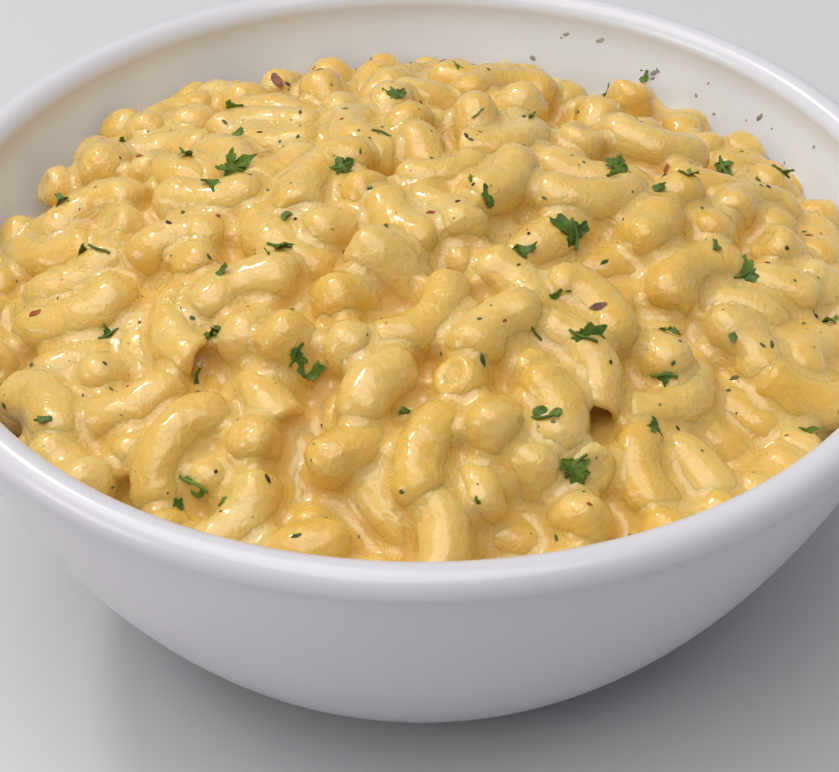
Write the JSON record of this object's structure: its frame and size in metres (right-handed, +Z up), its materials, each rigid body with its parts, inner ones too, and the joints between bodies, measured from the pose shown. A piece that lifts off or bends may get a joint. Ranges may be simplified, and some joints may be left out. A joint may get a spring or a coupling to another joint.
{
  "type": "mac and cheese in a serving bowl",
  "caption": "Heap of elbow macaroni in cheese sauce with chopped herbs, domed above a round white glazed serving bowl with a rolled lip and a foot ring.",
  "frame": {"origin": "middle of the foot ring's flat underside, on the table", "axes": "+Z up out of the bowl; -Y towards the person who looks at it; the bowl is turned about Z"},
  "size_m": [0.1886, 0.1886, 0.0878],
  "materials": {
    "glaze": "glossy white glaze",
    "pasta": "soft cooked pasta coated in warm yellow cheese sauce, wet gloss",
    "herbs": "chopped fresh parsley leaves and stems, satin",
    "spice": "ground dark pepper and dried herb specks, matt"
  },
  "bodies": {
    "root": {"bowl": "glaze", "macaroni": "pasta"}
  },
  "joints": []
}
